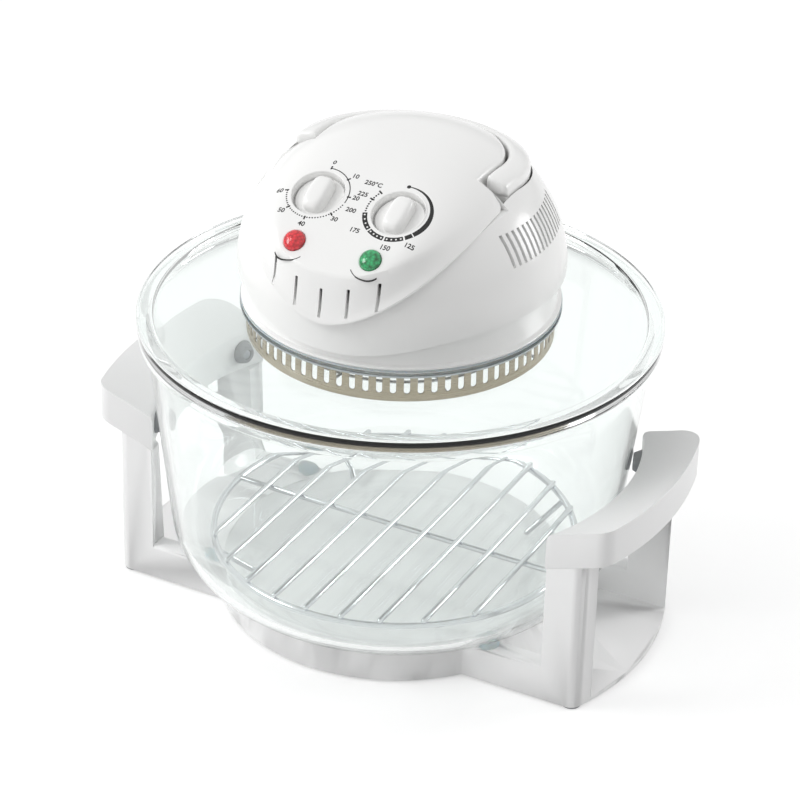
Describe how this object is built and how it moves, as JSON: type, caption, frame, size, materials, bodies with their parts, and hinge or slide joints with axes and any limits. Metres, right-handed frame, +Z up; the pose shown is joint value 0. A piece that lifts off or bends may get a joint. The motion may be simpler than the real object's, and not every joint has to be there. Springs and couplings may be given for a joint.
{
  "type": "halogen oven",
  "caption": "Round glass bowl in a stand with two side grips, closed by a lift-off glass lid with a domed heater and fan head, two dials and a folding carrying handle.",
  "frame": {"origin": "on the table, under the middle of the bowl", "axes": "+Z up, -Y towards the front (the dials), +X towards the right side grip"},
  "size_m": [0.376, 0.326, 0.32],
  "materials": {
    "stand_plastic": "satin white",
    "head_plastic": "glossy white",
    "steel": "zinc plated",
    "silicone": "translucent, matt",
    "grey_rubber": "matt",
    "glass": "clear, polished",
    "chrome_wire": "bright",
    "guard_steel": "satin, warm silver",
    "aluminium": "satin",
    "quartz": "clear",
    "ceramic": "matt ceramic",
    "insulation": "felted mineral wool",
    "core_steel": "stacked sheet",
    "copper": "enamelled copper wire",
    "bronze": "sintered bronze",
    "grey_plastic": "matt",
    "black_plastic": "matt",
    "red_plastic": "matt",
    "red_lens": "clear red",
    "green_lens": "clear green",
    "neon_glass": "clear"
  },
  "bodies": {
    "stand": {"stand_base": "stand_plastic", "left_grip": "stand_plastic", "right_grip": "stand_plastic", "grip_screws": "steel", "bowl_pads": "silicone", "bumpers": "grey_rubber", "bumper_screws": "steel", "feet": "grey_rubber"},
    "bowl_body": {"bowl": "glass"},
    "rack": {"low_rack": "chrome_wire"},
    "head": {"glass_lid": "glass", "lid_seal": "silicone", "lid_retainer": "steel", "collar": "head_plastic", "housing": "head_plastic", "front_cover": "head_plastic", "guard_ring": "guard_steel", "fan_grille": "chrome_wire", "reflector": "aluminium", "lamp_tube": "quartz", "lamp_holders": "ceramic", "insulation_pad": "insulation", "motor_bracket": "steel", "motor_core": "core_steel", "motor_coil": "copper", "motor_bearings": "bronze", "timer_body": "grey_plastic", "thermostat_body": "steel", "sensor_bulb": "steel", "power_lens": "red_lens", "heating_lens": "green_lens", "indicator_lamps": "neon_glass", "safety_switch": "black_plastic", "thermal_fuse": "steel", "terminal_block": "ceramic", "cord_gland": "head_plastic", "collar_screws": "steel", "handle_pivots": "steel"},
    "handle": {"carry_handle": "head_plastic"},
    "timer": {"timer_knob": "head_plastic"},
    "thermostat": {"thermostat_knob": "head_plastic"},
    "plunger": {"switch_plunger": "red_plastic"},
    "rotor": {"motor_shaft": "steel", "rotor_core": "core_steel", "hot_fan": "aluminium", "cooling_fan": "aluminium", "fan_nut": "steel"}
  },
  "joints": [
    {"name": "bowl_lift", "type": "slide", "parent": "stand", "child": "bowl_body", "axis": [0, 0, 1], "range_m": [0, 0.2]},
    {"name": "rack_lift", "type": "slide", "parent": "bowl_body", "child": "rack", "axis": [0, 0, 1], "range_m": [0, 0.13]},
    {"name": "head_lift", "type": "slide", "parent": "bowl_body", "child": "head", "axis": [0, 0, 1], "range_m": [0, 0.25]},
    {"name": "handle_swing", "type": "hinge", "parent": "head", "child": "handle", "pos_m": [0, 0.002, 0.297], "axis": [1, 0, 0], "range_deg": [0, 85]},
    {"name": "timer_turn", "type": "hinge", "parent": "head", "child": "timer", "pos_m": [-0.0267, -0.059, 0.3006], "axis": [0, -0.4415, 0.8973], "range_deg": [-262, 0]},
    {"name": "thermostat_turn", "type": "hinge", "parent": "head", "child": "thermostat", "pos_m": [0.0267, -0.059, 0.3006], "axis": [0, -0.4415, 0.8973], "range_deg": [-303, 0]},
    {"name": "plunger_slide", "type": "slide", "parent": "head", "child": "plunger", "axis": [0, 0, 1], "range_m": [0, 0.003]},
    {"name": "rotor_spin", "type": "hinge", "parent": "head", "child": "rotor", "pos_m": [0, 0, 0.24], "axis": [0, 0, 1], "continuous": true}
  ],
  "couplings": [
    {"joint": "plunger_slide", "follows": "handle_swing", "m_per_rad": 0.0011}
  ]
}
